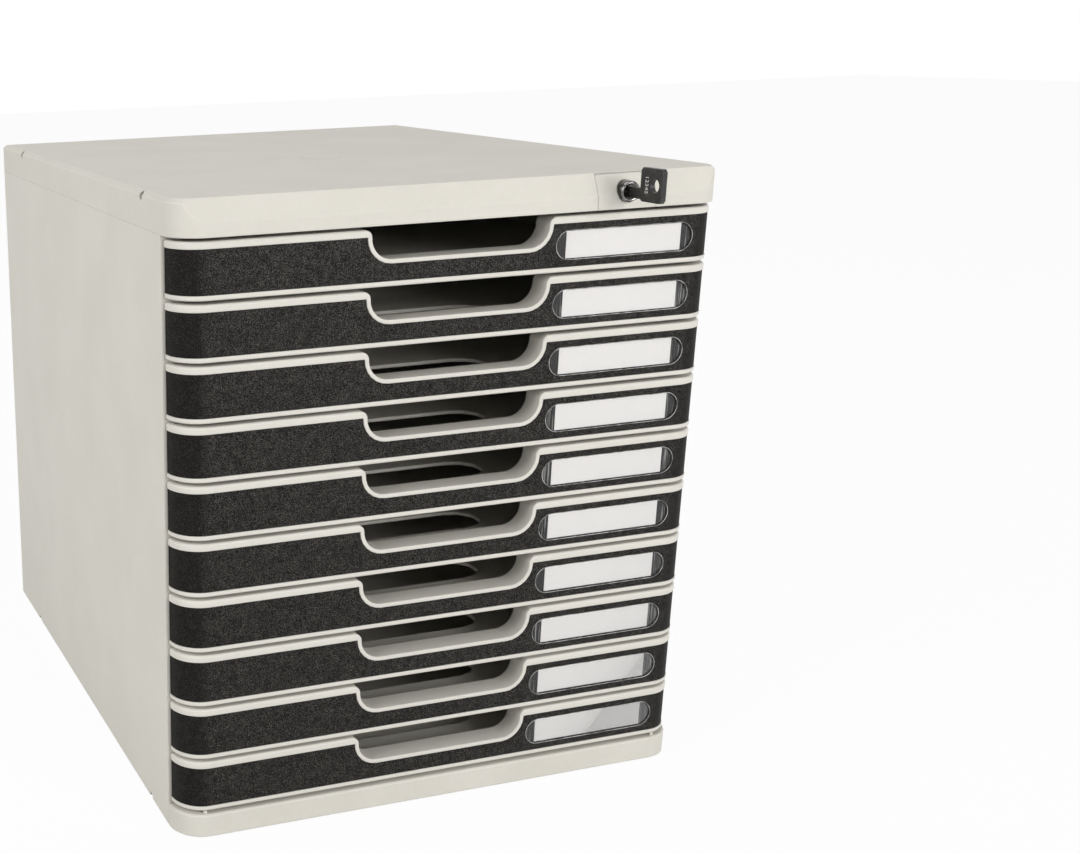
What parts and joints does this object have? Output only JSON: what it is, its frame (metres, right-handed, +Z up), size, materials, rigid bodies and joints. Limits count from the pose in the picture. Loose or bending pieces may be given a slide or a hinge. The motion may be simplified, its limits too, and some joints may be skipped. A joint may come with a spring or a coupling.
{
  "type": "desktop file drawer",
  "caption": "Desktop file cabinet with a stack of shallow A4 drawers behind dark fronts with finger scoops and label windows, closed by a central lock.",
  "frame": {"origin": "on the table, under the middle of the housing, the key left out", "axes": "+X to the right seen from the front, +Y from the drawer fronts to the back, +Z up"},
  "size_m": [0.288, 0.3767, 0.3235],
  "materials": {
    "housing_plastic": "fine matt moulded polystyrene, warm light grey",
    "tray_plastic": "satin moulded polystyrene, warm light grey",
    "dark_panel": "spark-textured black plastic with fine grey speckle",
    "clear_window": "clear glossy plastic",
    "label_card": "plain white card",
    "lock_chrome": "polished chrome",
    "plug_metal": "darkened chrome",
    "spring_steel": "zinc-plated steel",
    "bar_plastic": "acetal",
    "key_steel": "nickel-plated steel",
    "key_plastic": "black moulded plastic",
    "foot_rubber": "matt rubber"
  },
  "bodies": {
    "housing": {"top_cover": "housing_plastic", "lock_insert": "housing_plastic", "base": "housing_plastic", "left_side_panel": "housing_plastic", "right_side_panel": "housing_plastic", "back_panel": "housing_plastic", "rubber_feet": "foot_rubber", "lock_barrel": "lock_chrome"},
    "drawer_01": {"drawer_tray_01": "tray_plastic", "front_panel_01": "dark_panel", "label_window_01": "clear_window", "label_card_01": "label_card"},
    "drawer_02": {"drawer_tray_02": "tray_plastic", "front_panel_02": "dark_panel", "label_window_02": "clear_window", "label_card_02": "label_card"},
    "drawer_03": {"drawer_tray_03": "tray_plastic", "front_panel_03": "dark_panel", "label_window_03": "clear_window", "label_card_03": "label_card"},
    "drawer_04": {"drawer_tray_04": "tray_plastic", "front_panel_04": "dark_panel", "label_window_04": "clear_window", "label_card_04": "label_card"},
    "drawer_05": {"drawer_tray_05": "tray_plastic", "front_panel_05": "dark_panel", "label_window_05": "clear_window", "label_card_05": "label_card"},
    "drawer_06": {"drawer_tray_06": "tray_plastic", "front_panel_06": "dark_panel", "label_window_06": "clear_window", "label_card_06": "label_card"},
    "drawer_07": {"drawer_tray_07": "tray_plastic", "front_panel_07": "dark_panel", "label_window_07": "clear_window", "label_card_07": "label_card"},
    "drawer_08": {"drawer_tray_08": "tray_plastic", "front_panel_08": "dark_panel", "label_window_08": "clear_window", "label_card_08": "label_card"},
    "drawer_09": {"drawer_tray_09": "tray_plastic", "front_panel_09": "dark_panel", "label_window_09": "clear_window", "label_card_09": "label_card"},
    "drawer_10": {"drawer_tray_10": "tray_plastic", "front_panel_10": "dark_panel", "label_window_10": "clear_window", "label_card_10": "label_card"},
    "plug": {"lock_plug": "plug_metal", "lock_cam": "spring_steel"},
    "key": {"key_blade": "key_steel", "key_bow": "key_plastic"},
    "locking_bar": {"locking_bar": "bar_plastic"}
  },
  "joints": [
    {"name": "drawer_slide_01", "type": "slide", "parent": "housing", "child": "drawer_01", "axis": [0, -1, 0], "range_m": [0, 0.24]},
    {"name": "drawer_slide_02", "type": "slide", "parent": "housing", "child": "drawer_02", "axis": [0, -1, 0], "range_m": [0, 0.24]},
    {"name": "drawer_slide_03", "type": "slide", "parent": "housing", "child": "drawer_03", "axis": [0, -1, 0], "range_m": [0, 0.24]},
    {"name": "drawer_slide_04", "type": "slide", "parent": "housing", "child": "drawer_04", "axis": [0, -1, 0], "range_m": [0, 0.24]},
    {"name": "drawer_slide_05", "type": "slide", "parent": "housing", "child": "drawer_05", "axis": [0, -1, 0], "range_m": [0, 0.24]},
    {"name": "drawer_slide_06", "type": "slide", "parent": "housing", "child": "drawer_06", "axis": [0, -1, 0], "range_m": [0, 0.24]},
    {"name": "drawer_slide_07", "type": "slide", "parent": "housing", "child": "drawer_07", "axis": [0, -1, 0], "range_m": [0, 0.24]},
    {"name": "drawer_slide_08", "type": "slide", "parent": "housing", "child": "drawer_08", "axis": [0, -1, 0], "range_m": [0, 0.24]},
    {"name": "drawer_slide_09", "type": "slide", "parent": "housing", "child": "drawer_09", "axis": [0, -1, 0], "range_m": [0, 0.24]},
    {"name": "drawer_slide_10", "type": "slide", "parent": "housing", "child": "drawer_10", "axis": [0, -1, 0], "range_m": [0, 0.24]},
    {"name": "lock_turn", "type": "hinge", "parent": "housing", "child": "plug", "pos_m": [0.087, -0.165, 0.311], "axis": [0, -1, 0], "range_deg": [0, 90]},
    {"name": "key_pull", "type": "slide", "parent": "plug", "child": "key", "axis": [0, -1, 0], "range_m": [0, 0.018]},
    {"name": "bar_lift", "type": "slide", "parent": "housing", "child": "locking_bar", "axis": [0, 0, 1], "range_m": [0, 0.00594]}
  ],
  "couplings": [
    {"joint": "lock_turn", "follows": "bar_lift", "rad_per_m": 264.44}
  ]
}
